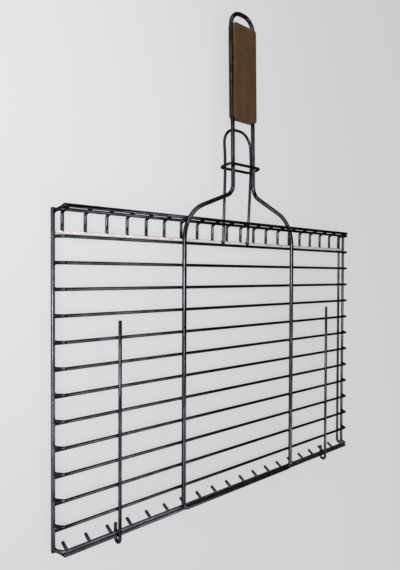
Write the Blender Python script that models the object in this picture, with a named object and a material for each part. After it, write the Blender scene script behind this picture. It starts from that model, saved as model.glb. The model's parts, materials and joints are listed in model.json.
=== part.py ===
"""Grill basket: two hinged wire leaves, a long handle with a wooden grip and a sliding clasp ring.

The basket lies flat. X runs across it, Y runs from the hinge to the handle and Z is up.
Lengths along Y are measured from the hinge, which is the axis of the rear leaf's bottom lip rod.
"""

import math

import bmesh
import bpy
from mathutils import Vector

MM = 0.001

# Leaves
LEAF_WIDTH = 450 * MM
LEAF_LENGTH = 300 * MM
TRAY_DEPTH = 11 * MM
SIDE_DEPTH = 9.3 * MM
SIDE_FLARE = 5.5 * MM
WIRE_R = 1.5 * MM
WIRE_BEND_R = 4 * MM
WELD_GAP = 0.3 * MM

# Front leaf
FRONT_WIRE_COUNT = 12
TOP_LIP_PLAY = 0.5 * MM
BOTTOM_LIP_PLAY = 0.4 * MM
TOP_PITCH = 22.65 * MM
BOTTOM_PITCH = 21.25 * MM
SIDE_ROD_R = 1.75 * MM
SIDE_ROD_OVERHANG = 0.5 * MM

# Rear leaf
TOP_LIP_R = 1.7 * MM
REAR_INSET = 4.5 * MM
REAR_SIDE_OUT = 2.7 * MM
REAR_SIDE_FOOT = 1.3 * MM
REAR_WIRE_OVERHANG = 0.5 * MM
REAR_SIDE_RISE = 2 * MM
COLUMN_COUNT = 20
REAR_WIRE_COUNT = 11
REAR_WIRE_FIRST = 18.9 * MM
REAR_WIRE_LAST = 48.8 * MM
TOP_CROSS_BAR_DROP = 22.1 * MM
TOP_WALL_DROP = 5 * MM
STUB_BEND_R = 2.5 * MM
BOTTOM_WALL_RISE = 7 * MM

# Hinge hooks
HINGE_R = 1.6 * MM
HINGE_SIDE_PLAY = 1.7 * MM
HINGE_COLUMN = 2
HINGE_LENGTH = 199 * MM
HOOK_DROP = 3 * MM
HOOK_TAIL = 10.5 * MM

# Handle rod and grip
HANDLE_R = 2.25 * MM
HANDLE_HALF = 17 * MM
HANDLE_SPLAY = 1.8 * MM
HANDLE_LEG_HALF = 90.2 * MM
HANDLE_FOOT = 2.5 * MM
HANDLE_FOOT_BEND_R = 6 * MM
HANDLE_LEAN = math.radians(1.0)
SHOULDER_TOP = 32 * MM
SHOULDER_LOW = 4.6 * MM
SHOULDER_TOP_BEND_R = 14 * MM
SHOULDER_LOW_BEND_R = 40 * MM
GRIP_START = 113.1 * MM
GRIP_LENGTH = 105.4 * MM
GRIP_FRONT = 5.2 * MM
GRIP_BACK = 4.4 * MM
GRIP_LIP = 1.5 * MM
GRIP_CORNER_R = 3.5 * MM
GRIP_EDGE_BEVEL = 1.2 * MM
HANG_LOOP_RISE = 13.5 * MM
HANG_LOOP_BEND_R = 15.5 * MM

# Rear handle
REAR_HANDLE_R = 1.5 * MM
REAR_HANDLE_HALF = 20.5 * MM
REAR_HANDLE_TOP_HALF = 22.3 * MM
REAR_HANDLE_TAIL = 2.5 * MM
REAR_HANDLE_REACH = 104.5 * MM
REAR_HANDLE_BEND_R = 18 * MM
REAR_HANDLE_KNEE = 55 * MM
REAR_HANDLE_LIFT = 3.2 * MM
REAR_HANDLE_TIP = 32 * MM
REAR_HANDLE_TIP_DROP = 2 * MM

# Clasp ring
RING_R = 1.25 * MM
RING_REACH = 61.5 * MM
RING_SIDE_PLAY = 0.35 * MM
RING_DEPTH_PLAY = 1.5 * MM
RING_TILT = math.radians(11)
RING_BEND_R = 5 * MM

# Facets
BEVEL_COUNT = 2
FACET_TURN = math.radians(22.5)
ARC_STEP = math.radians(24)

# Worked-out places
FLAT = math.cos(FACET_TURN)
REAR_SIDE_Z = WIRE_R * FLAT
REAR_Z = REAR_SIDE_Z + 2 * WIRE_R + WELD_GAP
FRONT_Z = REAR_Z + TRAY_DEPTH
SIDE_Z = FRONT_Z - SIDE_DEPTH
HANDLE_Z = FRONT_Z + WIRE_R + WELD_GAP + HANDLE_R
HINGE_Z = FRONT_Z + WIRE_R + WELD_GAP + HINGE_R
HOOK_R = HINGE_Z - FRONT_Z
LEAF_HALF = LEAF_WIDTH / 2
SIDE_HALF = LEAF_HALF + SIDE_FLARE
REAR_WIDTH = LEAF_WIDTH - 2 * REAR_INSET
REAR_HALF = REAR_WIDTH / 2
REAR_SIDE_HALF = LEAF_HALF + REAR_SIDE_OUT
COLUMN_PITCH = REAR_WIDTH / (COLUMN_COUNT - 1)
TOP_CROSS_BAR = LEAF_LENGTH - TOP_CROSS_BAR_DROP
GRIP_LOW = LEAF_LENGTH + GRIP_START
GRIP_TOP = GRIP_LOW + GRIP_LENGTH
GRIP_THICK = GRIP_FRONT + GRIP_BACK
GRIP_RAISE = (GRIP_FRONT - GRIP_BACK) / 2
HANG_LOOP_TOP = GRIP_TOP + HANG_LOOP_RISE
SPLAY_SLOPE = HANDLE_SPLAY / (HANG_LOOP_TOP - GRIP_LOW)
RING_Y = LEAF_LENGTH + RING_REACH
LEAN_START = LEAF_LENGTH + SHOULDER_LOW

# The origin is under the middle of the whole basket.
HOOK_END = HOOK_DROP + HOOK_R + HINGE_R
HINGE_Y = (HOOK_END - HANG_LOOP_TOP - HANDLE_R) / 2


def clear_scene():
    for old in list(bpy.data.objects):
        bpy.data.objects.remove(old, do_unlink=True)


def material(name, colour, roughness, metallic):
    made = bpy.data.materials.new(name)
    made.use_nodes = True
    surface = made.node_tree.nodes["Principled BSDF"]
    surface.inputs["Base Color"].default_value = (*colour, 1.0)
    surface.inputs["Roughness"].default_value = roughness
    surface.inputs["Metallic"].default_value = metallic
    return made


def steel(name):
    return material(name, (0.045, 0.045, 0.05), 0.35, 0.9)


def point(x, y, z):
    """A place whose Y is measured from the hinge."""
    return Vector((x, HINGE_Y + y, z))


def arc_points(before, corner, after, radius):
    """Points of the arc that rounds one corner of a path."""
    back = (before - corner).normalized()
    ahead = (after - corner).normalized()
    angle = back.angle(ahead)
    turn = math.pi - angle
    reach = radius / math.tan(angle / 2)
    centre = corner + (back + ahead).normalized() * (radius / math.sin(angle / 2))
    first = corner + back * reach - centre
    axis = back.cross(ahead).normalized()
    steps = max(2, math.ceil(turn / ARC_STEP))
    made = []
    for step in range(steps + 1):
        swing = -turn * step / steps
        along = first * math.cos(swing) + axis.cross(first) * math.sin(swing)
        made.append(centre + along)
    return made


def rounded(corners, radii):
    """A path through the corners, each with its own bend radius. Zero keeps a point as it is."""
    path = []
    count = len(corners)
    for index, radius in enumerate(radii):
        if radius == 0:
            path.append(corners[index])
            continue
        before = corners[index - 1]
        after = corners[(index + 1) % count]
        path.extend(arc_points(before, corners[index], after, radius))
    return path


def add_tube(curve, path, closed):
    spline = curve.splines.new("POLY")
    spline.points.add(len(path) - 1)
    for knot, place in zip(spline.points, path):
        knot.co = (*place, 1.0)
        knot.tilt = FACET_TURN
    spline.use_cyclic_u = closed


def tube_curve(name, paths, radius, closed=False, twist="MINIMUM"):
    """A curve with a round section of eight flats along each path."""
    curve = bpy.data.curves.new(name, "CURVE")
    curve.dimensions = "3D"
    curve.twist_mode = twist
    curve.bevel_depth = radius
    curve.bevel_resolution = BEVEL_COUNT
    curve.use_fill_caps = not closed
    for path in paths:
        add_tube(curve, path, closed)
    return curve


def add_object(name, data, surface, axis):
    """Places a piece under its body's empty, so that its origin is on the joint's axis."""
    data.materials.append(surface)
    made = bpy.data.objects.new(name, data)
    bpy.context.scene.collection.objects.link(made)
    made.parent = axis
    return made


def wire(name, path, radius, axis, closed=False, twist="MINIMUM"):
    """One bent wire of constant thickness."""
    local = [place - axis.location for place in path]
    return add_object(name, tube_curve(name, [local], radius, closed, twist), steel(name), axis)


def joint_axis(name, place):
    made = bpy.data.objects.new(name, None)
    made.location = place
    bpy.context.scene.collection.objects.link(made)
    return made


def mesh_from_tubes(name, paths, radius):
    """A mesh of closed tubes, for a Boolean."""
    curve = tube_curve(name + "_guide", paths, radius)
    guide = bpy.data.objects.new(name + "_guide", curve)
    mesh = bpy.data.meshes.new_from_object(guide)
    bpy.data.objects.remove(guide, do_unlink=True)
    mesh.name = name
    shape = bmesh.new()
    shape.from_mesh(mesh)
    bmesh.ops.remove_doubles(shape, verts=shape.verts, dist=0.001 * MM)
    bmesh.ops.recalc_face_normals(shape, faces=shape.faces)
    shape.to_mesh(mesh)
    shape.free()
    return mesh


def hide_helper(helper):
    helper.hide_render = True
    helper.display_type = "WIRE"


def join(piece, other, name):
    step = piece.modifiers.new(name, "BOOLEAN")
    step.operation = "UNION"
    step.solver = "EXACT"
    step.object = other


def cut(piece, other, name):
    step = piece.modifiers.new(name, "BOOLEAN")
    step.operation = "DIFFERENCE"
    step.solver = "EXACT"
    step.object = other


def column_x(column):
    return COLUMN_PITCH * column - REAR_HALF


def front_row_path(y):
    """A wire across the front leaf whose ends bend back and out to the side rods."""
    wall = Vector((SIDE_FLARE, 0, -SIDE_DEPTH))
    butt = wall.normalized() * (SIDE_ROD_R + WELD_GAP)
    right_end = point(SIDE_HALF, y, SIDE_Z) - butt
    left_end = Vector((-right_end.x, right_end.y, right_end.z))
    corners = [left_end, point(-LEAF_HALF, y, FRONT_Z), point(LEAF_HALF, y, FRONT_Z), right_end]
    return rounded(corners, [0, WIRE_BEND_R, WIRE_BEND_R, 0])


def build_front_grid(axis):
    low = WIRE_R + BOTTOM_LIP_PLAY + WIRE_R
    high = LEAF_LENGTH - TOP_LIP_R - TOP_LIP_PLAY - WIRE_R
    wire("front_top_bar", front_row_path(high), WIRE_R, axis)
    wire("front_bottom_bar", front_row_path(low), WIRE_R, axis)
    first = high - TOP_PITCH
    pitch = (first - low - BOTTOM_PITCH) / (FRONT_WIRE_COUNT - 1)
    for row in range(FRONT_WIRE_COUNT):
        wire(f"front_wire_{row + 1:02d}", front_row_path(first - row * pitch), WIRE_R, axis)
    past = WIRE_R + SIDE_ROD_OVERHANG
    for side, x in (("left", -SIDE_HALF), ("right", SIDE_HALF)):
        path = [point(x, low - past, SIDE_Z), point(x, high + past, SIDE_Z)]
        wire(f"front_side_rod_{side}", path, SIDE_ROD_R, axis)


def hinge_rod_path(x):
    """A straight rod on the front wires whose foot curls round the bottom lip rod and back up."""
    path = [point(x, HINGE_LENGTH, HINGE_Z)]
    steps = math.ceil(math.pi / ARC_STEP)
    for step in range(steps + 1):
        angle = math.pi / 2 + math.pi * step / steps
        y = HOOK_R * math.cos(angle) - HOOK_DROP
        path.append(point(x, y, FRONT_Z + HOOK_R * math.sin(angle)))
    path.append(point(x, HOOK_TAIL, FRONT_Z - HOOK_R))
    return path


def build_hinge_rods(axis):
    x = abs(column_x(HINGE_COLUMN)) - WIRE_R - HINGE_R - HINGE_SIDE_PLAY
    wire("hinge_rod_left", hinge_rod_path(-x), HINGE_R, axis)
    wire("hinge_rod_right", hinge_rod_path(x), HINGE_R, axis)


def handle_height(y):
    """Height of the handle rod's middle: level on the leaf, then leaning back."""
    return HANDLE_Z - max(0.0, y - LEAN_START) * math.tan(HANDLE_LEAN)


def build_handle_rod(axis):
    """One rod: two legs down the front leaf, two shoulders, the grip's rods and the hang loop."""
    half = [
        (HANDLE_LEG_HALF, HANDLE_FOOT, HANDLE_FOOT_BEND_R),
        (HANDLE_LEG_HALF, LEAF_LENGTH + SHOULDER_LOW, SHOULDER_LOW_BEND_R),
        (HANDLE_HALF, LEAF_LENGTH + SHOULDER_TOP, SHOULDER_TOP_BEND_R),
        (HANDLE_HALF, GRIP_LOW, 0),
        (HANDLE_HALF + HANDLE_SPLAY, HANG_LOOP_TOP, HANG_LOOP_BEND_R),
    ]
    mirrored = [(-x, y, radius) for x, y, radius in reversed(half)]
    corners = half + mirrored
    flat = [Vector((x, y, 0)) for x, y, radius in corners]
    path = rounded(flat, [radius for x, y, radius in corners])
    places = [point(place.x, place.y, handle_height(place.y)) for place in path]
    wire("handle_rod", places, HANDLE_R, axis, closed=True)


def build_grip(axis):
    """A wooden board between the handle's rods, with a groove along each edge for the rod."""
    middle = (GRIP_LOW + GRIP_TOP) / 2
    rods = point(0, middle, handle_height(middle))
    centre = rods + Vector((0, 0, GRIP_RAISE))
    lean = (-HANDLE_LEAN, 0, 0)
    half_width = HANDLE_HALF + GRIP_LIP
    shape = bmesh.new()
    bmesh.ops.create_cube(shape, size=1.0)
    bmesh.ops.scale(shape, vec=(2 * half_width, GRIP_LENGTH, GRIP_THICK), verts=shape.verts)
    uprights = [edge for edge in shape.edges if abs(edge.verts[0].co.z - edge.verts[1].co.z) > GRIP_THICK / 2]
    bmesh.ops.bevel(shape, geom=uprights, offset=GRIP_CORNER_R, segments=3, affect="EDGES", profile=0.5)
    rims = [edge for edge in shape.edges if abs(edge.verts[0].co.z - edge.verts[1].co.z) < GRIP_THICK / 2]
    bmesh.ops.bevel(shape, geom=rims, offset=GRIP_EDGE_BEVEL, segments=2, affect="EDGES", profile=0.5)
    mesh = bpy.data.meshes.new("grip")
    shape.to_mesh(mesh)
    shape.free()
    wood = material("grip", (0.095, 0.054, 0.027), 0.6, 0.0)
    grip = add_object("grip", mesh, wood, axis)
    grip.location = centre - axis.location
    grip.rotation_euler = lean
    groove_r = HANDLE_R + WELD_GAP
    over = GRIP_LENGTH / 2
    narrow = HANDLE_HALF - SPLAY_SLOPE * over
    wide = HANDLE_HALF + SPLAY_SLOPE * (GRIP_LENGTH + over)
    for side, sign in (("left", -1), ("right", 1)):
        path = [Vector((sign * narrow, -GRIP_LENGTH, 0)), Vector((sign * wide, GRIP_LENGTH, 0))]
        mesh = mesh_from_tubes(f"grip_groove_{side}", [path], groove_r / FLAT)
        groove = bpy.data.objects.new(f"grip_groove_{side}", mesh)
        bpy.context.scene.collection.objects.link(groove)
        groove.parent = axis
        groove.location = rods - axis.location
        groove.rotation_euler = lean
        hide_helper(groove)
        cut(grip, groove, f"groove_{side}")


def wall_columns():
    return [column_x(column) for column in range(COLUMN_COUNT)]


def build_lip(name, lip_y, lip_r, wall_paths, root):
    """A lip rod with its short wall wires welded on."""
    ends = [point(-LEAF_HALF, lip_y, FRONT_Z), point(LEAF_HALF, lip_y, FRONT_Z)]
    lip = add_object(name, mesh_from_tubes(name, [ends], lip_r), steel(name), root)
    walls = bpy.data.objects.new(name + "_walls", mesh_from_tubes(name + "_walls", wall_paths, WIRE_R))
    bpy.context.scene.collection.objects.link(walls)
    hide_helper(walls)
    join(lip, walls, "weld")


def build_rear_frame(root):
    top_knee = LEAF_LENGTH - TOP_WALL_DROP
    stub_end = TOP_CROSS_BAR + WIRE_R + WELD_GAP
    stubs = []
    prongs = []
    for x in wall_columns():
        lip_top = point(x, LEAF_LENGTH, FRONT_Z)
        stub = [lip_top, point(x, top_knee, REAR_Z), point(x, stub_end, REAR_Z)]
        stubs.append(rounded(stub, [0, STUB_BEND_R, 0]))
        prongs.append([point(x, 0, FRONT_Z), point(x, BOTTOM_WALL_RISE, REAR_Z)])
    build_lip("rear_top_lip", LEAF_LENGTH, TOP_LIP_R, stubs, root)
    build_lip("rear_bottom_lip", 0, WIRE_R, prongs, root)
    build_rear_side_rod("rear_side_rod_left", -1, root)
    build_rear_side_rod("rear_side_rod_right", 1, root)


def build_rear_side_rod(name, side, root):
    """A rod under the ends of the rear wires. Its own ends bend up to the two lip rods."""
    foot = side * (LEAF_HALF - REAR_SIDE_FOOT)
    x = side * REAR_SIDE_HALF
    top = point(foot, LEAF_LENGTH, FRONT_Z)
    high = point(x, LEAF_LENGTH - TOP_WALL_DROP, REAR_SIDE_Z)
    low = point(x, REAR_SIDE_RISE, REAR_SIDE_Z)
    bottom = point(foot, 0, FRONT_Z)
    start = top + (high - top).normalized() * (TOP_LIP_R + WELD_GAP)
    end = bottom + (low - bottom).normalized() * (WIRE_R + WELD_GAP)
    path = rounded([start, high, low, end], [0, WIRE_BEND_R, WIRE_BEND_R, 0])
    wire(name, path, WIRE_R, root, twist="Z_UP")


def rear_row(name, y, root):
    reach = REAR_SIDE_HALF + REAR_WIRE_OVERHANG
    wire(name, [point(-reach, y, REAR_Z), point(reach, y, REAR_Z)], WIRE_R, root)


def build_rear_grid(root):
    rear_row("rear_cross_bar", TOP_CROSS_BAR, root)
    pitch = (LEAF_LENGTH - REAR_WIRE_LAST - REAR_WIRE_FIRST) / (REAR_WIRE_COUNT - 1)
    for row in range(REAR_WIRE_COUNT):
        rear_row(f"rear_wire_{row + 1:02d}", LEAF_LENGTH - REAR_WIRE_LAST - row * pitch, root)


def rear_handle_height(y):
    """Height of the rear handle's middle: on the cross bar, up to a knee, then its tip bends down."""
    seat = REAR_Z + WIRE_R + WELD_GAP + REAR_HANDLE_R
    start = TOP_CROSS_BAR + WIRE_R
    knee = LEAF_LENGTH + REAR_HANDLE_KNEE
    tip_end = LEAF_LENGTH + REAR_HANDLE_REACH
    tip_start = tip_end - REAR_HANDLE_TIP
    rise = min(1.0, max(0.0, (y - start) / (knee - start)))
    dip = min(1.0, max(0.0, (y - tip_start) / (tip_end - tip_start)))
    return seat + REAR_HANDLE_LIFT * rise - REAR_HANDLE_TIP_DROP * dip


def build_rear_handle(root):
    foot = TOP_CROSS_BAR - REAR_HANDLE_TAIL
    top = LEAF_LENGTH + REAR_HANDLE_REACH
    splay = (REAR_HANDLE_TOP_HALF - REAR_HANDLE_HALF) / (top - foot)
    stops = [TOP_CROSS_BAR + WIRE_R, LEAF_LENGTH + REAR_HANDLE_KNEE, top - REAR_HANDLE_TIP]
    half = [(REAR_HANDLE_HALF, foot, 0)]
    for y in stops:
        half.append((REAR_HANDLE_HALF + splay * (y - foot), y, 0))
    half.append((REAR_HANDLE_TOP_HALF, top, REAR_HANDLE_BEND_R))
    corners = half + [(-x, y, radius) for x, y, radius in reversed(half)]
    flat = [Vector((x, y, 0)) for x, y, radius in corners]
    path = rounded(flat, [radius for x, y, radius in corners])
    places = [point(place.x, place.y, rear_handle_height(place.y)) for place in path]
    wire("rear_handle", places, REAR_HANDLE_R, root)


def ring_frame():
    """The clasp ring's middle, half height and half length, from the rods that it goes round."""
    high = handle_height(RING_Y) + HANDLE_R + WELD_GAP + RING_R
    low = rear_handle_height(RING_Y) - REAR_HANDLE_R - RING_DEPTH_PLAY - RING_R
    widest = max(HANDLE_HALF + HANDLE_R, REAR_HANDLE_TOP_HALF + REAR_HANDLE_R)
    return (high + low) / 2, (high - low) / 2, widest + RING_SIDE_PLAY + RING_R


def build_clasp_ring(axis):
    middle, half_height, half_length = ring_frame()
    lean = math.tan(RING_TILT)
    corners = []
    for x, z in ((1, 1), (-1, 1), (-1, -1), (1, -1)):
        rise = z * half_height
        corners.append(point(x * half_length, RING_Y + rise * lean, middle + rise))
    path = rounded(corners, [RING_BEND_R] * len(corners))
    wire("clasp_ring", path, RING_R, axis, closed=True)


def build_part():
    clear_scene()
    root = joint_axis("rear_leaf", Vector((0, 0, 0)))
    front = joint_axis("leaf_hinge_axis", point(0, 0, FRONT_Z))
    ring = joint_axis("clasp_slide_axis", point(0, RING_Y, ring_frame()[0]))
    build_rear_frame(root)
    build_rear_grid(root)
    build_rear_handle(root)
    build_front_grid(front)
    build_hinge_rods(front)
    build_handle_rod(front)
    build_grip(front)
    build_clasp_ring(ring)


build_part()
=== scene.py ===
"""Looks of the grill basket: smooth wires, welds, a wooden grip, plain light and the photo's camera."""

import json
import math

import bmesh
import bpy
from mathutils import Matrix, Vector, noise


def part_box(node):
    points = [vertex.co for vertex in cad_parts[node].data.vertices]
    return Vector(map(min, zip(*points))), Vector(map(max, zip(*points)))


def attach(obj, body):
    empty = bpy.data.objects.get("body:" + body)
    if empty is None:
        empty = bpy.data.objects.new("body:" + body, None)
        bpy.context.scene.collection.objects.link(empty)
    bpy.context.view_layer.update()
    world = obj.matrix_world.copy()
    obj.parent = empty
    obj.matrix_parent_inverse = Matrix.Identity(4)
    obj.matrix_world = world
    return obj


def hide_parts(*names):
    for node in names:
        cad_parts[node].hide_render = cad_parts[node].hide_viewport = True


MM = 0.001

# Sizes repeated from the part, in metres
WIRE_R = 1.5 * MM
HANDLE_R = 2.25 * MM
HINGE_R = 1.6 * MM
REAR_HANDLE_R = 1.5 * MM
RING_R = 1.25 * MM
RING_LOOK_R = 1.5 * MM
WELD_GAP = 0.3 * MM
LEAF_WIDTH = 450 * MM
LEAF_LENGTH = 300 * MM
SIDE_DEPTH = 9.3 * MM
SIDE_FLARE = 5.5 * MM
WIRE_BEND_R = 4 * MM
SIDE_ROD_R = 1.75 * MM
TOP_LIP_R = 1.7 * MM
REAR_WIDTH = 441 * MM
REAR_SIDE_HALF = 227.7 * MM
REAR_SIDE_FOOT = 223.7 * MM
REAR_SIDE_RISE = 2 * MM
COLUMN_COUNT = 20
TOP_CROSS_BAR = 277.9 * MM
TOP_WALL_DROP = 5 * MM
STUB_BEND_R = 2.5 * MM
BOTTOM_WALL_RISE = 7 * MM
HINGE_LENGTH = 199 * MM
HOOK_DROP = 3 * MM
HOOK_TAIL = 10.5 * MM
HANDLE_HALF = 17 * MM
HANDLE_SPLAY = 1.8 * MM
HANDLE_LEG_HALF = 90.2 * MM
HANDLE_FOOT = 2.5 * MM
HANDLE_FOOT_BEND_R = 6 * MM
HANDLE_LEAN = math.radians(1.0)
SHOULDER_TOP = 332 * MM
SHOULDER_LOW = 304.6 * MM
SHOULDER_TOP_BEND_R = 14 * MM
SHOULDER_LOW_BEND_R = 40 * MM
GRIP_LOW = 413.1 * MM
GRIP_TOP = 518.5 * MM
GRIP_FRONT = 5.2 * MM
GRIP_BACK = 4.4 * MM
GRIP_HALF = 18.5 * MM
GRIP_CORNER_R = 3.5 * MM
GRIP_EDGE_R = 1.1 * MM
GROOVE_R = 2.4 * MM
GROOVE_LIP = 0.03 * MM
HANG_LOOP_TOP = 532 * MM
HANG_LOOP_BEND_R = 15.5 * MM
REAR_HANDLE_HALF = 20.5 * MM
REAR_HANDLE_TOP_HALF = 22.3 * MM
REAR_HANDLE_FOOT = 275.4 * MM
REAR_HANDLE_TOP = 404.5 * MM
REAR_HANDLE_BEND_R = 18 * MM
REAR_HANDLE_KNEE = 355 * MM
REAR_HANDLE_LIFT = 3.2 * MM
REAR_HANDLE_TIP = 32 * MM
REAR_HANDLE_TIP_DROP = 2 * MM
RING_Y = 361.5 * MM
RING_SIDE_PLAY = 0.35 * MM
RING_DEPTH_PLAY = 1.5 * MM
RING_TILT = math.radians(11)
RING_BEND_R = 5 * MM

FRONT_WIRE_COUNT = 12
REAR_WIRE_COUNT = 11

# Fineness of the dressed pieces
WIRE_SIDES = 20
ARC_STEP = math.radians(9)
LEAST_ARC_STEPS = 3
CUT_END_SOFTNESS = 0.3
CUT_END_STEPS = 2
GRIP_CORNER_STEPS = 6
GRIP_EDGE_STEPS = 4
GROOVE_STEPS = 6
FLAT_FACE_AREA = 400 * MM * MM

# How far a front wire's end stops short of its side rod's middle, in wire radii
WALL_BUTT = 0.6

# The camera, measured from the front leaf: across, along from the hinge, and out from the wires
CAMERA_ACROSS = -470.7 * MM
CAMERA_ALONG = 241.3 * MM
CAMERA_OUT = 416.6 * MM
CAMERA_TURN = math.radians(44.3)
CAMERA_PITCH = math.radians(1.07)
CAMERA_ROLL = math.radians(0.23)
CAMERA_NEAR = 10 * MM
PHOTO_WIDTH = 400
FOCAL_PIXELS = 554
SENSOR = 36.0

# Wire finishes: two tones of the plating, its stains, how rough it is, how metallic, how bright its rims
DARK_STEEL = {
    "dark": (0.014, 0.0155, 0.0185),
    "light": (0.042, 0.0455, 0.053),
    "stain": (0.05, 0.042, 0.036),
    "gloss": (0.07, 0.17),
    "metallic": 1.0,
    "rim": 0.3,
}
HANDLE_STEEL = {
    "dark": (0.02, 0.022, 0.025),
    "light": (0.052, 0.056, 0.063),
    "stain": (0.055, 0.045, 0.039),
    "gloss": (0.12, 0.22),
    "metallic": 1.0,
    "rim": 0.3,
}
# Lighter steel for the bottom bars, bottom lip and front side rods: its lighter tone is a painted sheen
# that stands in for reflected light.
RAIL_SHEEN_STEEL = {
    "dark": (0.05, 0.054, 0.061),
    "light": (0.092, 0.098, 0.11),
    "stain": (0.075, 0.07, 0.066),
    "gloss": (0.26, 0.4),
    "metallic": 1.0,
    "rim": 0.4,
}
# Pale pinkish steel for the rear cross bar: its pale colour is a painted highlight that stands in for a
# bright window's reflection.
PALE_HIGHLIGHT_STEEL = {
    "dark": (0.56, 0.49, 0.49),
    "light": (0.68, 0.6, 0.6),
    "stain": (0.47, 0.41, 0.4),
    "gloss": (0.35, 0.5),
    "metallic": 0.2,
    "rim": 1.0,
}

# Patterns of the wire finish, as how many to the metre
MOTTLE_SCALE = 70.0
STAIN_SCALE = 24.0
SPECK_SCALE = 900.0
SMEAR_SCALE = 190.0
WAVE_SCALE = 320.0
DRAWN_SCALE = 2600.0
STAIN_SHARE = 0.7
SPECK_SHARE = 0.6
WAVE_STRENGTH = 0.045
WAVE_DEPTH = 0.12 * MM
DRAWN_STRENGTH = 0.05
DRAWN_DEPTH = 0.05 * MM

# The grip's wood
WOOD_STRETCH = (1.0, 0.14, 1.0)
WOOD_BAND_SCALE = 120.0
WOOD_FIBRE_SCALE = 800.0
WOOD_PORE_SCALE = 1900.0
WOOD_HANDLED_SCALE = 60.0
WOOD_BAND_DARK = (0.058, 0.0285, 0.0075)
WOOD_BAND_LIGHT = (0.088, 0.0445, 0.0125)
WOOD_FIBRE = (0.03, 0.0145, 0.0042)
WOOD_PORE = (0.014, 0.007, 0.003)
WOOD_HANDLED = (0.038, 0.0185, 0.0055)
WOOD_HANDLED_SHARE = 0.45
WOOD_ROUGHNESS = (0.5, 0.7)
WOOD_GLOSS = 0.18
WOOD_RIDGE_STRENGTH = 0.35
WOOD_RIDGE_DEPTH = 0.3 * MM
WOOD_PORE_STRENGTH = 0.3
WOOD_PORE_DEPTH = -0.2 * MM

# Weld beads, with their half sizes in wire radii
BEAD_UNEVEN = 0.35
BEAD_GRAIN = 1.1 * MM
BEAD_FINENESS = 2
WALL_END_BEAD = (1.2, 1.25, 0.8)
LAP_BEAD = (1.25, 1.2, 0.55)
HANDLE_LAP_BEAD = (HANDLE_R / WIRE_R, 1.2, 0.55)
KNOB_BEAD = (1.3, 1.15, 1.15)
KNOB_REACH = 1.3
SIDE_LAP_BEAD = (1.1, 1.25, 0.6)
REAR_HANDLE_BEAD = (1.0, 1.2, 0.5)

# Floor and surroundings: how they look to the eye, and how they take and give light
FLOOR_HALF = 40.0
FLOOR_COLOUR = (0.6, 0.6, 0.61, 1.0)
FLOOR_ROUGHNESS = 0.95
FLOOR_GLOW_COLOUR = (0.98, 0.985, 1.0, 1.0)
# The floor's glow is brightest near one spot on the left and fades with distance: a painted pool of light.
FLOOR_GLOW_POOL_PEAK = 0.69
FLOOR_GLOW_FAR = 0.555
FLOOR_GLOW_POOL_REACH = 0.62
FLOOR_PAINTED_LIGHT_SPOT = (-0.35, 0.15, 0.0)
FLOOR_SHADE = 0.07
FLOOR_DROP = 0.3 * MM
WORLD_COLOUR = (0.93, 0.96, 1.0, 1.0)
WORLD_LIGHT = 0.06
BACKDROP_FULL = 0.3
BACKDROP_END = 0.6

# Lamps: where each stands, what it faces, its width and height, and its power in watts
LAMPS = {
    "window": ((-0.85, 0.02, 0.62), (0, 0, 0), (0.25, 0.5), 8.0),
    "left_long": ((-1.6, -0.15, 0.5), (0, -0.15, 0), (2.4, 0.5), 12.0),
    "overhead": ((-0.6, 1.6, 1.1), (0, 0, 0), (1.6, 0.8), 18.0),
    "low_front": ((0.1, -0.75, 0.5), (-0.1, -0.1, 0), (0.6, 0.5), 2.2),
    "right_top": ((0.35, 0.25, 0.8), (-0.15, -0.1, 0), (0.2, 0.3), 1.8),
    "right_low": ((0.35, -0.45, 0.75), (-0.15, -0.25, 0), (0.2, 0.5), 2.4),
    "glint": ((-0.6, -0.25, 0.95), (-0.2, -0.1, 0), (0.1, 0.1), 1.2),
    "left_front": ((-0.75, -0.55, 0.75), (-0.1, -0.1, 0), (0.2, 0.3), 2.2),
}

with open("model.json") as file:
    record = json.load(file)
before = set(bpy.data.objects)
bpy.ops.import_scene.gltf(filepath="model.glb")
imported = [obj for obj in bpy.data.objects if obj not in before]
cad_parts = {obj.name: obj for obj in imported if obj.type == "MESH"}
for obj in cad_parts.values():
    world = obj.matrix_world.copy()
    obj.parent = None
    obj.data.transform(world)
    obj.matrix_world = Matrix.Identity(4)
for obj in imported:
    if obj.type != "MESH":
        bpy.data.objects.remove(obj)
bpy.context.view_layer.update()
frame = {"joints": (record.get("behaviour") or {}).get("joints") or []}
hinge = frame["joints"][0]["pos_m"]
HINGE_Y = hinge[1]
FRONT_Z = hinge[2]
REAR_Z = sum(corner.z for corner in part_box("rear_wire_01")) / 2
REAR_SIDE_Z = REAR_Z - 2 * WIRE_R - WELD_GAP
LEAF_HALF = LEAF_WIDTH / 2
SIDE_HALF = LEAF_HALF + SIDE_FLARE
SIDE_Z = FRONT_Z - SIDE_DEPTH
REAR_HALF = REAR_WIDTH / 2
COLUMN_PITCH = REAR_WIDTH / (COLUMN_COUNT - 1)
HANDLE_Z = FRONT_Z + WIRE_R + WELD_GAP + HANDLE_R
HINGE_Z = FRONT_Z + WIRE_R + WELD_GAP + HINGE_R


def point(x, y, z):
    """A place whose Y is measured from the hinge."""
    return Vector((x, HINGE_Y + y, z))


def row_y(node):
    """How far from the hinge a wire across the basket lies."""
    low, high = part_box(node)
    return (low.y + high.y) / 2 - HINGE_Y


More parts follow.
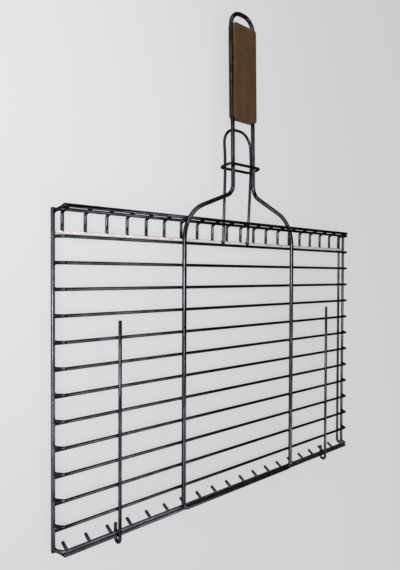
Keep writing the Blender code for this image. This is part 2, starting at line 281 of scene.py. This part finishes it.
def arc_points(before, corner, after, radius):
    """Points round a bend at a corner, from the leg before it to the leg after it."""
    back = (before - corner).normalized()
    ahead = (after - corner).normalized()
    angle = back.angle(ahead)
    turn = math.pi - angle
    reach = radius / math.tan(angle / 2)
    centre = corner + (back + ahead).normalized() * (radius / math.sin(angle / 2))
    first = corner + back * reach - centre
    axis = back.cross(ahead).normalized()
    steps = max(LEAST_ARC_STEPS, math.ceil(turn / ARC_STEP))
    made = []
    for step in range(steps + 1):
        swing = -turn * step / steps
        made.append(centre + first * math.cos(swing) + axis.cross(first) * math.sin(swing))
    return made


def rounded(corners, radii):
    """A path through the corners, each with its own bend radius. Zero keeps a point as it is."""
    path = []
    count = len(corners)
    for index, radius in enumerate(radii):
        if radius == 0:
            path.append(corners[index])
            continue
        path.extend(arc_points(corners[index - 1], corners[index], corners[(index + 1) % count], radius))
    return path


def wire_directions(path, closed):
    """Which way a wire runs at each point of its path, halfway round where it bends."""
    count = len(path)
    steps = [(path[(index + 1) % count] - path[index]).normalized() for index in range(count)]
    if not closed:
        steps[-1] = steps[-2]
    directions = [(before + after).normalized() for before, after in zip([steps[-1]] + steps, steps)]
    if not closed:
        directions[0] = steps[0]
    return directions


def ring_edges(ring):
    """The edges between the points of one ring."""
    inside = set(ring)
    found = {edge for vert in ring for edge in vert.link_edges if edge.other_vert(vert) in inside}
    return list(found)


def sweep_wire(shape, path, radius, closed=False):
    """Extrudes a circle from point to point of a path, swinging it round at each bend."""
    directions = wire_directions(path, closed)
    facing = directions[0].to_track_quat("Z", "Y").to_matrix().to_4x4()
    start = Matrix.Translation(path[0]) @ facing
    circle = bmesh.ops.create_circle(
        shape, cap_ends=not closed, radius=radius, segments=WIRE_SIDES, matrix=start
    )
    first = ring_edges(circle["verts"])
    last = first
    for index in range(1, len(path)):
        grown = bmesh.ops.extrude_edge_only(shape, edges=last)["geom"]
        ring = [item for item in grown if isinstance(item, bmesh.types.BMVert)]
        last = ring_edges(ring)
        swing = directions[index - 1].rotation_difference(directions[index]).to_matrix()
        bmesh.ops.rotate(shape, verts=ring, cent=path[index - 1], matrix=swing)
        bmesh.ops.translate(shape, verts=ring, vec=path[index] - path[index - 1])
    if closed:
        bmesh.ops.bridge_loops(shape, edges=first + last)
    else:
        bmesh.ops.edgeloop_fill(shape, edges=last)
        soften(shape, first + last, radius * CUT_END_SOFTNESS, CUT_END_STEPS)


def soften(shape, edges, width, segments):
    """Rounds edges off."""
    bmesh.ops.bevel(
        shape, geom=edges, offset=width, segments=segments, affect="EDGES", profile=0.5, material=-1
    )


def new_piece(name, shape, surface, body, nodes):
    """Makes a mesh object of a finished shape with its material, on its body, in place of its solids."""
    bmesh.ops.recalc_face_normals(shape, faces=shape.faces)
    for face in shape.faces:
        face.smooth = face.calc_area() < FLAT_FACE_AREA
    mesh = bpy.data.meshes.new(name)
    shape.to_mesh(mesh)
    shape.free()
    mesh.materials.append(surface)
    piece = bpy.data.objects.new(name, mesh)
    bpy.context.scene.collection.objects.link(piece)
    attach(piece, body)
    if nodes:
        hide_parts(*nodes)
    return piece


def wire_piece(node, path, radius, surface, body, closed=False):
    """A wire along a path, in place of its solid."""
    shape = bmesh.new()
    sweep_wire(shape, path, radius, closed)
    return new_piece(node + "_look", shape, surface, body, [node])


# Shapes of the wires

def front_row_path(y):
    """A front wire: straight across, with both ends bent back and out to the side rods."""
    wall = Vector((SIDE_FLARE, 0, -SIDE_DEPTH))
    butt = wall.normalized() * (WIRE_R * WALL_BUTT)
    right_end = point(SIDE_HALF, y, SIDE_Z) - butt
    left_end = Vector((-right_end.x, right_end.y, right_end.z))
    corners = [left_end, point(-LEAF_HALF, y, FRONT_Z), point(LEAF_HALF, y, FRONT_Z), right_end]
    return rounded(corners, [0, WIRE_BEND_R, WIRE_BEND_R, 0])


def hinge_rod_path(x):
    """A hinge rod: down the leaf, then round the rear leaf's bottom lip and a little way back."""
    radius = HINGE_Z - FRONT_Z
    path = [point(x, HINGE_LENGTH, HINGE_Z)]
    steps = math.ceil(math.pi / ARC_STEP)
    for step in range(steps + 1):
        angle = math.pi / 2 + math.pi * step / steps
        y = radius * math.cos(angle) - HOOK_DROP
        path.append(point(x, y, FRONT_Z + radius * math.sin(angle)))
    path.append(point(x, HOOK_TAIL, FRONT_Z - radius))
    return path


def handle_height(y):
    """Where the handle's rod lies in Z: level on the leaf, then leaning back."""
    return HANDLE_Z - max(0.0, y - SHOULDER_LOW) * math.tan(HANDLE_LEAN)


def handle_path():
    """The handle's closed rod: feet, legs, shoulders, grip rods and hang loop."""
    half = [
        (HANDLE_LEG_HALF, HANDLE_FOOT, HANDLE_FOOT_BEND_R),
        (HANDLE_LEG_HALF, SHOULDER_LOW, SHOULDER_LOW_BEND_R),
        (HANDLE_HALF, SHOULDER_TOP, SHOULDER_TOP_BEND_R),
        (HANDLE_HALF, GRIP_LOW, 0),
        (HANDLE_HALF + HANDLE_SPLAY, HANG_LOOP_TOP, HANG_LOOP_BEND_R),
    ]
    corners = half + [(-x, y, radius) for x, y, radius in reversed(half)]
    path = rounded([Vector((x, y, 0)) for x, y, radius in corners], [corner[2] for corner in corners])
    return [point(place.x, place.y, handle_height(place.y)) for place in path]


def rear_handle_height(y):
    """Where the rear handle lies in Z: on the cross bar, rising to its knee, with its tip bent back."""
    seat = REAR_Z + WIRE_R + WELD_GAP + REAR_HANDLE_R
    start = TOP_CROSS_BAR + WIRE_R
    tip_start = REAR_HANDLE_TOP - REAR_HANDLE_TIP
    rise = min(1.0, max(0.0, (y - start) / (REAR_HANDLE_KNEE - start)))
    dip = min(1.0, max(0.0, (y - tip_start) / REAR_HANDLE_TIP))
    return seat + REAR_HANDLE_LIFT * rise - REAR_HANDLE_TIP_DROP * dip


def rear_handle_path():
    """The rear handle: a long loop, a little wider at its tip."""
    splay = (REAR_HANDLE_TOP_HALF - REAR_HANDLE_HALF) / (REAR_HANDLE_TOP - REAR_HANDLE_FOOT)
    tip = REAR_HANDLE_TOP - REAR_HANDLE_TIP
    stops = [REAR_HANDLE_FOOT, TOP_CROSS_BAR + WIRE_R, REAR_HANDLE_KNEE, tip]
    half = [(REAR_HANDLE_HALF + splay * (y - REAR_HANDLE_FOOT), y, 0) for y in stops]
    half.append((REAR_HANDLE_TOP_HALF, REAR_HANDLE_TOP, REAR_HANDLE_BEND_R))
    corners = half + [(-x, y, radius) for x, y, radius in reversed(half)]
    path = rounded([Vector((x, y, 0)) for x, y, radius in corners], [corner[2] for corner in corners])
    return [point(place.x, place.y, rear_handle_height(place.y)) for place in path]


def ring_path():
    """The ring round the handle's rods and the rear handle, leaning along them."""
    high = handle_height(RING_Y) + HANDLE_R + WELD_GAP + RING_R
    low = rear_handle_height(RING_Y) - REAR_HANDLE_R - RING_DEPTH_PLAY - RING_R
    middle = (high + low) / 2
    half_height = (high - low) / 2
    widest = max(HANDLE_HALF + HANDLE_R, REAR_HANDLE_TOP_HALF + REAR_HANDLE_R)
    half_length = widest + RING_SIDE_PLAY + RING_R
    corners = []
    for x, z in ((1, 1), (-1, 1), (-1, -1), (1, -1)):
        rise = z * half_height
        corners.append(point(x * half_length, RING_Y + rise * math.tan(RING_TILT), middle + rise))
    return rounded(corners, [RING_BEND_R] * len(corners))


# Materials

def new_material(name):
    """A material with its nodes and its surface shader."""
    made = bpy.data.materials.new(name)
    made.use_nodes = True
    tree = made.node_tree
    return made, tree, tree.nodes["Principled BSDF"]


def add_node(tree, kind, **settings):
    node = tree.nodes.new(kind)
    for key, value in settings.items():
        setattr(node, key, value)
    return node


def noise_node(tree, coords, scale, detail=4.0, roughness=0.55):
    """Noise from 0 to 1 at so many spots to the metre."""
    node = add_node(tree, "ShaderNodeTexNoise")
    node.inputs["Scale"].default_value = scale
    node.inputs["Detail"].default_value = detail
    node.inputs["Roughness"].default_value = roughness
    tree.links.new(coords, node.inputs["Vector"])
    return node.outputs["Fac"]


def spread(tree, value, low, high, to_low=0.0, to_high=1.0):
    """Stretches the part of a value between low and high, with soft ends."""
    node = add_node(tree, "ShaderNodeMapRange", interpolation_type="SMOOTHSTEP")
    node.inputs["From Min"].default_value = low
    node.inputs["From Max"].default_value = high
    node.inputs["To Min"].default_value = to_low
    node.inputs["To Max"].default_value = to_high
    tree.links.new(value, node.inputs["Value"])
    return node.outputs["Result"]


def blend_colours(tree, share, first, second):
    """Mixes two colours, each a plain colour or a socket."""
    node = add_node(tree, "ShaderNodeMix", data_type="RGBA")
    tree.links.new(share, node.inputs["Factor"])
    for socket, colour in zip(("A", "B"), (first, second)):
        place = next(i for i in node.inputs if i.name == socket and i.type == "RGBA")
        if isinstance(colour, tuple):
            place.default_value = (*colour, 1.0)
        else:
            tree.links.new(colour, place)
    return next(o for o in node.outputs if o.type == "RGBA")


def bump_node(tree, height, strength, distance, below=None):
    """Raises the surface by a height, on top of an earlier bump where one is given."""
    node = add_node(tree, "ShaderNodeBump")
    node.inputs["Strength"].default_value = strength
    node.inputs["Distance"].default_value = distance
    tree.links.new(height, node.inputs["Height"])
    if below is not None:
        tree.links.new(below, node.inputs["Normal"])
    return node.outputs["Normal"]


def wire_finish_group():
    """Plated wire: mottled tone, heat stains, specks, uneven gloss and a finely drawn surface."""
    group = bpy.data.node_groups.new("wire_finish", "ShaderNodeTree")
    sockets = group.interface
    for name in ("Dark", "Light", "Stain"):
        sockets.new_socket(name, in_out="INPUT", socket_type="NodeSocketColor")
    for name in ("Gloss Low", "Gloss High"):
        sockets.new_socket(name, in_out="INPUT", socket_type="NodeSocketFloat")
    sockets.new_socket("Color", in_out="OUTPUT", socket_type="NodeSocketColor")
    sockets.new_socket("Roughness", in_out="OUTPUT", socket_type="NodeSocketFloat")
    sockets.new_socket("Normal", in_out="OUTPUT", socket_type="NodeSocketVector")
    given = add_node(group, "NodeGroupInput").outputs
    result = add_node(group, "NodeGroupOutput").inputs
    coords = add_node(group, "ShaderNodeTexCoord").outputs["Object"]
    mottle = spread(group, noise_node(group, coords, MOTTLE_SCALE, 5.0, 0.62), 0.34, 0.68)
    tone = blend_colours(group, mottle, given["Dark"], given["Light"])
    stain = spread(group, noise_node(group, coords, STAIN_SCALE, 3.0), 0.56, 0.74, 0.0, STAIN_SHARE)
    stained = blend_colours(group, stain, tone, given["Stain"])
    specks = spread(group, noise_node(group, coords, SPECK_SCALE, 2.0), 0.66, 0.72, 0.0, SPECK_SHARE)
    group.links.new(blend_colours(group, specks, stained, given["Stain"]), result["Color"])
    smear = add_node(group, "ShaderNodeMapRange")
    group.links.new(noise_node(group, coords, SMEAR_SCALE, 3.0), smear.inputs["Value"])
    smear.inputs["From Min"].default_value = 0.3
    smear.inputs["From Max"].default_value = 0.7
    group.links.new(given["Gloss Low"], smear.inputs["To Min"])
    group.links.new(given["Gloss High"], smear.inputs["To Max"])
    group.links.new(smear.outputs["Result"], result["Roughness"])
    wavy = noise_node(group, coords, WAVE_SCALE, 2.0)
    waves = bump_node(group, wavy, WAVE_STRENGTH, WAVE_DEPTH)
    lines = noise_node(group, coords, DRAWN_SCALE, 2.0)
    drawn = bump_node(group, lines, DRAWN_STRENGTH, DRAWN_DEPTH, waves)
    group.links.new(drawn, result["Normal"])
    return group


def wire_material(name, finish, look):
    """Plated wire in one of the finishes above."""
    made, tree, surface = new_material(name)
    node = add_node(tree, "ShaderNodeGroup", node_tree=finish)
    node.inputs["Dark"].default_value = (*look["dark"], 1.0)
    node.inputs["Light"].default_value = (*look["light"], 1.0)
    node.inputs["Stain"].default_value = (*look["stain"], 1.0)
    node.inputs["Gloss Low"].default_value = look["gloss"][0]
    node.inputs["Gloss High"].default_value = look["gloss"][1]
    tree.links.new(node.outputs["Color"], surface.inputs["Base Color"])
    tree.links.new(node.outputs["Roughness"], surface.inputs["Roughness"])
    tree.links.new(node.outputs["Normal"], surface.inputs["Normal"])
    surface.inputs["Metallic"].default_value = look["metallic"]
    surface.inputs["Specular Tint"].default_value = (*[look["rim"]] * 3, 1.0)
    return made


def wood_material():
    """Dark brown wood: long grain with darker pores, slow bands, a few stains and an oiled surface."""
    made, tree, surface = new_material("grip_wood")
    coords = add_node(tree, "ShaderNodeTexCoord").outputs["Object"]
    stretch = add_node(tree, "ShaderNodeMapping")
    stretch.inputs["Scale"].default_value = WOOD_STRETCH
    tree.links.new(coords, stretch.inputs["Vector"])
    along = stretch.outputs["Vector"]
    bands = spread(tree, noise_node(tree, along, WOOD_BAND_SCALE, 4.0, 0.6), 0.3, 0.7)
    fibres = noise_node(tree, along, WOOD_FIBRE_SCALE, 5.0, 0.7)
    pores = spread(tree, noise_node(tree, along, WOOD_PORE_SCALE, 2.0, 0.5), 0.6, 0.72)
    base = blend_colours(tree, bands, WOOD_BAND_DARK, WOOD_BAND_LIGHT)
    grained = blend_colours(tree, spread(tree, fibres, 0.3, 0.7, 0.15, 0.85), WOOD_FIBRE, base)
    pored = blend_colours(tree, pores, grained, WOOD_PORE)
    touched = noise_node(tree, coords, WOOD_HANDLED_SCALE)
    handled = spread(tree, touched, 0.5, 0.75, 0.0, WOOD_HANDLED_SHARE)
    colour = blend_colours(tree, handled, pored, WOOD_HANDLED)
    tree.links.new(colour, surface.inputs["Base Color"])
    tree.links.new(spread(tree, fibres, 0.3, 0.75, *WOOD_ROUGHNESS), surface.inputs["Roughness"])
    ridges = bump_node(tree, fibres, WOOD_RIDGE_STRENGTH, WOOD_RIDGE_DEPTH)
    pitted = bump_node(tree, pores, WOOD_PORE_STRENGTH, WOOD_PORE_DEPTH, ridges)
    tree.links.new(pitted, surface.inputs["Normal"])
    surface.inputs["Specular IOR Level"].default_value = WOOD_GLOSS
    return made


# Pieces

def front_rows():
    wires = [f"front_wire_{row:02d}" for row in range(1, FRONT_WIRE_COUNT + 1)]
    return ["front_top_bar", "front_bottom_bar"] + wires


def rear_rows():
    return [f"rear_wire_{row:02d}" for row in range(1, REAR_WIRE_COUNT + 1)]


def dress_front_leaf(dark, handle_steel, rail):
    """The front wires, side rods, hinge rods and handle, with lighter steel at the foot and the sides: a
    painted sheen standing in for reflected light.
    """
    for node in front_rows():
        surface = rail if node == "front_bottom_bar" else dark
        wire_piece(node, front_row_path(row_y(node)), WIRE_R, surface, "front_leaf")
    for side in ("left", "right"):
        node = f"front_side_rod_{side}"
        low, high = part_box(node)
        x = (low.x + high.x) / 2
        path = [Vector((x, low.y, SIDE_Z)), Vector((x, high.y, SIDE_Z))]
        wire_piece(node, path, SIDE_ROD_R, rail, "front_leaf")
        node = f"hinge_rod_{side}"
        low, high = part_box(node)
        wire_piece(node, hinge_rod_path((low.x + high.x) / 2), HINGE_R, dark, "front_leaf")
    rod = handle_path()
    wire_piece("handle_rod", rod, HANDLE_R, handle_steel, "front_leaf", closed=True)


def column_x(column):
    """Where a column of wall wires stands across the basket."""
    return COLUMN_PITCH * column - REAR_HALF


def dress_rear_leaf(dark, pale, rail):
    """The rear wires, cross bar and side rods, both lips with their wall wires, and the rear handle."""
    for node in rear_rows():
        rear_row(node, dark)
    # The cross bar's pale steel is a painted highlight.
    rear_row("rear_cross_bar", pale)
    top_knee = LEAF_LENGTH - TOP_WALL_DROP
    for side, name in ((-1, "rear_side_rod_left"), (1, "rear_side_rod_right")):
        corners = [
            point(side * REAR_SIDE_FOOT, LEAF_LENGTH, FRONT_Z),
            point(side * REAR_SIDE_HALF, top_knee, REAR_SIDE_Z),
            point(side * REAR_SIDE_HALF, REAR_SIDE_RISE, REAR_SIDE_Z),
            point(side * REAR_SIDE_FOOT, 0, FRONT_Z),
        ]
        path = rounded(corners, [0, WIRE_BEND_R, WIRE_BEND_R, 0])
        wire_piece(name, path, WIRE_R, dark, "rear_leaf")
    stubs = bmesh.new()
    prongs = bmesh.new()
    ends = (-LEAF_HALF, LEAF_HALF)
    sweep_wire(stubs, [point(x, LEAF_LENGTH, FRONT_Z) for x in ends], TOP_LIP_R)
    sweep_wire(prongs, [point(x, 0, FRONT_Z) for x in ends], WIRE_R)
    for column in range(COLUMN_COUNT):
        x = column_x(column)
        stub = [point(x, LEAF_LENGTH, FRONT_Z), point(x, top_knee, REAR_Z), point(x, TOP_CROSS_BAR, REAR_Z)]
        sweep_wire(stubs, rounded(stub, [0, STUB_BEND_R, 0]), WIRE_R)
        sweep_wire(prongs, [point(x, 0, FRONT_Z), point(x, BOTTOM_WALL_RISE, REAR_Z)], WIRE_R)
    new_piece("rear_top_lip_look", stubs, dark, "rear_leaf", ["rear_top_lip"])
    # The bottom lip's lighter rail steel is a painted sheen.
    new_piece("rear_bottom_lip_look", prongs, rail, "rear_leaf", ["rear_bottom_lip"])
    wire_piece("rear_handle", rear_handle_path(), REAR_HANDLE_R, dark, "rear_leaf")


def rear_row(node, surface):
    """A straight wire across the rear leaf."""
    low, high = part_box(node)
    y = (low.y + high.y) / 2
    path = [Vector((low.x, y, REAR_Z)), Vector((high.x, y, REAR_Z))]
    wire_piece(node, path, WIRE_R, surface, "rear_leaf")


# Grip

def groove_levels():
    """Heights at which the board is cut for its grooves: just outside them, and round their arc."""
    turns = [math.pi / 2 * step / GROOVE_STEPS for step in range(-GROOVE_STEPS, GROOVE_STEPS + 1)]
    inside = [GROOVE_R * math.sin(turn) for turn in turns]
    return [-GROOVE_R - GROOVE_LIP] + inside + [GROOVE_R + GROOVE_LIP]


def press_groove(vert, middle):
    """Pushes a point of the board's side in to the groove that holds the rod."""
    if abs(vert.co.z) > GROOVE_R + GROOVE_LIP / 2:
        return
    along = middle + vert.co.y - GRIP_LOW
    rod_x = HANDLE_HALF + HANDLE_SPLAY * along / (HANG_LOOP_TOP - GRIP_LOW)
    depth = math.sqrt(max(0.0, GROOVE_R ** 2 - vert.co.z ** 2))
    vert.co.x = math.copysign(min(abs(vert.co.x), rod_x - depth), vert.co.x)


def dress_grip(wood):
    """A board with round corners and soft edges, and a groove along each side for the handle's rod."""
    middle = (GRIP_LOW + GRIP_TOP) / 2
    thick = GRIP_FRONT + GRIP_BACK
    shape = bmesh.new()
    bmesh.ops.create_cube(shape, size=1.0)
    bmesh.ops.scale(shape, vec=(2 * GRIP_HALF, GRIP_TOP - GRIP_LOW, thick), verts=shape.verts)
    bmesh.ops.translate(shape, vec=(0, 0, (GRIP_FRONT - GRIP_BACK) / 2), verts=shape.verts)
    uprights = [edge for edge in shape.edges if edge_rise(edge) > thick / 2]
    soften(shape, uprights, GRIP_CORNER_R, GRIP_CORNER_STEPS)
    rims = [edge for edge in shape.edges if edge_rise(edge) < thick / 2]
    soften(shape, rims, GRIP_EDGE_R, GRIP_EDGE_STEPS)
    for level in groove_levels():
        everything = [*shape.verts, *shape.edges, *shape.faces]
        bmesh.ops.bisect_plane(shape, geom=everything, plane_co=(0, 0, level), plane_no=(0, 0, 1))
    for vert in shape.verts:
        press_groove(vert, middle)
    lean = Matrix.Rotation(-HANDLE_LEAN, 3, "X")
    bmesh.ops.rotate(shape, verts=shape.verts, cent=(0, 0, 0), matrix=lean)
    bmesh.ops.translate(shape, verts=shape.verts, vec=point(0, middle, handle_height(middle)))
    new_piece("grip_look", shape, wood, "front_leaf", ["grip"])


def edge_rise(edge):
    """How far an edge climbs in Z."""
    return abs(edge.verts[0].co.z - edge.verts[1].co.z)


# Welds

def add_bead(shape, centre, size, turn=None):
    """A small uneven lump of weld metal, its half sizes given in wire radii."""
    facing = turn.to_4x4() if turn else Matrix()
    half_sizes = [WIRE_R * share for share in size]
    place = Matrix.Translation(centre) @ facing @ Matrix.Diagonal((*half_sizes, 1.0))
    ball = bmesh.ops.create_icosphere(shape, subdivisions=BEAD_FINENESS, radius=1.0, matrix=place)
    for vert in ball["verts"]:
        swell = BEAD_UNEVEN * noise.noise(vert.co / BEAD_GRAIN)
        vert.co += (vert.co - centre) * swell


def add_front_welds(dark):
    """Beads where the front wires meet the side rods, the handle's legs and the hinge rods."""
    shape = bmesh.new()
    hinge_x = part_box("hinge_rod_right")[1].x - HINGE_R
    wall = Vector((SIDE_FLARE, 0, -SIDE_DEPTH)).normalized()
    top = FRONT_Z + WIRE_R
    for node in front_rows():
        y = row_y(node)
        for side in (-1, 1):
            lean = Matrix.Rotation(-side * math.atan2(SIDE_FLARE, SIDE_DEPTH), 3, "Y")
            reach = Vector((side * wall.x, 0, wall.z)) * SIDE_ROD_R
            add_bead(shape, point(side * SIDE_HALF, y, SIDE_Z) - reach, WALL_END_BEAD, lean)
            add_bead(shape, point(side * HANDLE_LEG_HALF, y, top), HANDLE_LAP_BEAD)
            if y < HINGE_LENGTH:
                add_bead(shape, point(side * hinge_x, y, top), LAP_BEAD)
    new_piece("front_welds", shape, dark, "front_leaf", [])


def add_rear_welds(dark):
    """Beads at the lips, the rear side rods and the rear handle's feet."""
    shape = bmesh.new()
    stub = Vector((0, -TOP_WALL_DROP, REAR_Z - FRONT_Z)).normalized() * WIRE_R * KNOB_REACH
    prong = Vector((0, BOTTOM_WALL_RISE, REAR_Z - FRONT_Z)).normalized() * WIRE_R * KNOB_REACH
    for column in range(COLUMN_COUNT):
        x = column_x(column)
        add_bead(shape, point(x, LEAF_LENGTH, FRONT_Z) + stub, KNOB_BEAD)
        add_bead(shape, point(x, 0, FRONT_Z) + prong, KNOB_BEAD)
    for node in ["rear_cross_bar"] + rear_rows():
        for side in (-1, 1):
            add_bead(shape, point(side * REAR_SIDE_HALF, row_y(node), REAR_Z - WIRE_R), SIDE_LAP_BEAD)
    for side in (-1, 1):
        for y in (0, LEAF_LENGTH):
            add_bead(shape, point(side * REAR_SIDE_FOOT, y, FRONT_Z - WIRE_R), KNOB_BEAD)
        seat = point(side * REAR_HANDLE_HALF, TOP_CROSS_BAR, REAR_Z + WIRE_R)
        add_bead(shape, seat, REAR_HANDLE_BEAD)
    new_piece("rear_welds", shape, dark, "rear_leaf", [])


# Stage

def seen_rays(tree):
    """One for the rays that show the background: straight ones, and those off metal or through glass."""
    rays = add_node(tree, "ShaderNodeLightPath").outputs
    shown = rays["Is Camera Ray"]
    for name in ("Is Glossy Ray", "Is Transmission Ray"):
        either = add_node(tree, "ShaderNodeMath", operation="MAXIMUM")
        tree.links.new(shown, either.inputs[0])
        tree.links.new(rays[name], either.inputs[1])
        shown = either.outputs["Value"]
    return shown


def build_floor():
    """A pale floor. Its glow is a painted pool of light, brightest on the left and fading away from there,
    with the basket's shadow kept soft.
    """
    shape = bmesh.new()
    bmesh.ops.create_grid(shape, x_segments=1, y_segments=1, size=FLOOR_HALF)
    mesh = bpy.data.meshes.new("floor")
    shape.to_mesh(mesh)
    shape.free()
    made, tree, surface = new_material("floor_pale")
    surface.inputs["Base Color"].default_value = FLOOR_COLOUR
    surface.inputs["Roughness"].default_value = FLOOR_ROUGHNESS
    seen = add_node(tree, "ShaderNodeEmission")
    seen.inputs["Color"].default_value = FLOOR_GLOW_COLOUR
    # Painted pool of light: the glow fades with distance from a spot on the left.
    away = add_node(tree, "ShaderNodeVectorMath", operation="DISTANCE")
    tree.links.new(add_node(tree, "ShaderNodeTexCoord").outputs["Object"], away.inputs[0])
    away.inputs[1].default_value = FLOOR_PAINTED_LIGHT_SPOT
    glow_with_painted_pool = spread(tree, away.outputs["Value"], 0.0, FLOOR_GLOW_POOL_REACH, FLOOR_GLOW_POOL_PEAK, FLOOR_GLOW_FAR)
    tree.links.new(glow_with_painted_pool, seen.inputs["Strength"])
    shade = add_node(tree, "ShaderNodeBsdfDiffuse")
    shade.inputs["Color"].default_value = (*[FLOOR_SHADE] * 3, 1.0)
    both = add_node(tree, "ShaderNodeAddShader")
    tree.links.new(seen.outputs["Emission"], both.inputs[0])
    tree.links.new(shade.outputs["BSDF"], both.inputs[1])
    pick = add_node(tree, "ShaderNodeMixShader")
    tree.links.new(seen_rays(tree), pick.inputs["Fac"])
    tree.links.new(surface.outputs["BSDF"], pick.inputs[1])
    tree.links.new(both.outputs["Shader"], pick.inputs[2])
    tree.links.new(pick.outputs["Shader"], tree.nodes["Material Output"].inputs["Surface"])
    mesh.materials.append(made)
    floor = bpy.data.objects.new("floor", mesh)
    floor.location = (0, 0, -FLOOR_DROP)
    bpy.context.scene.collection.objects.link(floor)


def add_lamp(name, place, target, size, power):
    """A soft rectangular lamp that isn't seen itself."""
    data = bpy.data.lights.new(name, "AREA")
    data.shape = "RECTANGLE"
    data.size, data.size_y = size
    data.energy = power
    lamp = bpy.data.objects.new(name, data)
    lamp.location = place
    lamp.rotation_euler = (Vector(target) - Vector(place)).to_track_quat("-Z", "Y").to_euler()
    lamp.visible_camera = False
    bpy.context.scene.collection.objects.link(lamp)


def build_world():
    """Faint light from all round, shown low down as bright as the far floor."""
    world = bpy.data.worlds.new("studio")
    world.use_nodes = True
    tree = world.node_tree
    lit = tree.nodes["Background"]
    lit.inputs["Color"].default_value = WORLD_COLOUR
    lit.inputs["Strength"].default_value = WORLD_LIGHT
    seen = add_node(tree, "ShaderNodeBackground")
    seen.inputs["Color"].default_value = FLOOR_GLOW_COLOUR
    way = add_node(tree, "ShaderNodeSeparateXYZ")
    tree.links.new(add_node(tree, "ShaderNodeTexCoord").outputs["Generated"], way.inputs["Vector"])
    dimmed = spread(tree, way.outputs["Z"], BACKDROP_FULL, BACKDROP_END, FLOOR_GLOW_FAR, WORLD_LIGHT)
    tree.links.new(dimmed, seen.inputs["Strength"])
    pick = add_node(tree, "ShaderNodeMixShader")
    tree.links.new(seen_rays(tree), pick.inputs["Fac"])
    tree.links.new(lit.outputs["Background"], pick.inputs[1])
    tree.links.new(seen.outputs["Background"], pick.inputs[2])
    tree.links.new(pick.outputs["Shader"], tree.nodes["World Output"].inputs["Surface"])
    bpy.context.scene.world = world


def build_lights():
    """The surroundings and every lamp."""
    build_world()
    for name, settings in LAMPS.items():
        add_lamp(name, *settings)


def build_camera():
    """The photograph's view, from the left of the basket."""
    data = bpy.data.cameras.new("photo_camera")
    data.sensor_fit = "HORIZONTAL"
    data.sensor_width = SENSOR
    data.lens = FOCAL_PIXELS / PHOTO_WIDTH * SENSOR
    data.clip_start = CAMERA_NEAR
    camera = bpy.data.objects.new("photo_camera", data)
    bpy.context.scene.collection.objects.link(camera)
    turn = Matrix.Rotation(-CAMERA_TURN, 4, "Y")
    pitch = Matrix.Rotation(-CAMERA_PITCH, 4, "X")
    roll = Matrix.Rotation(CAMERA_ROLL, 4, "Z")
    camera.matrix_world = turn @ pitch @ roll
    camera.location = point(CAMERA_ACROSS, CAMERA_ALONG, FRONT_Z + CAMERA_OUT)
    bpy.context.scene.camera = camera


def build_scene():
    """Dresses every solid, adds the welds, and sets up the floor, the light and the view."""
    finish = wire_finish_group()
    dark = wire_material("dark_wire_steel", finish, DARK_STEEL)
    rod = wire_material("handle_steel", finish, HANDLE_STEEL)
    # Rail steel is lighter as a painted sheen of reflected light.
    rail = wire_material("rail_steel", finish, RAIL_SHEEN_STEEL)
    # Pale steel paints a bright reflection onto the rear cross bar.
    pale = wire_material("pale_wire_steel", finish, PALE_HIGHLIGHT_STEEL)
    dress_front_leaf(dark, rod, rail)
    dress_grip(wood_material())
    add_front_welds(dark)
    dress_rear_leaf(dark, pale, rail)
    add_rear_welds(dark)
    wire_piece("clasp_ring", ring_path(), RING_LOOK_R, dark, "clasp_ring", closed=True)
    build_floor()
    build_lights()
    build_camera()
    bpy.context.scene.view_settings.view_transform = "Standard"


build_scene()
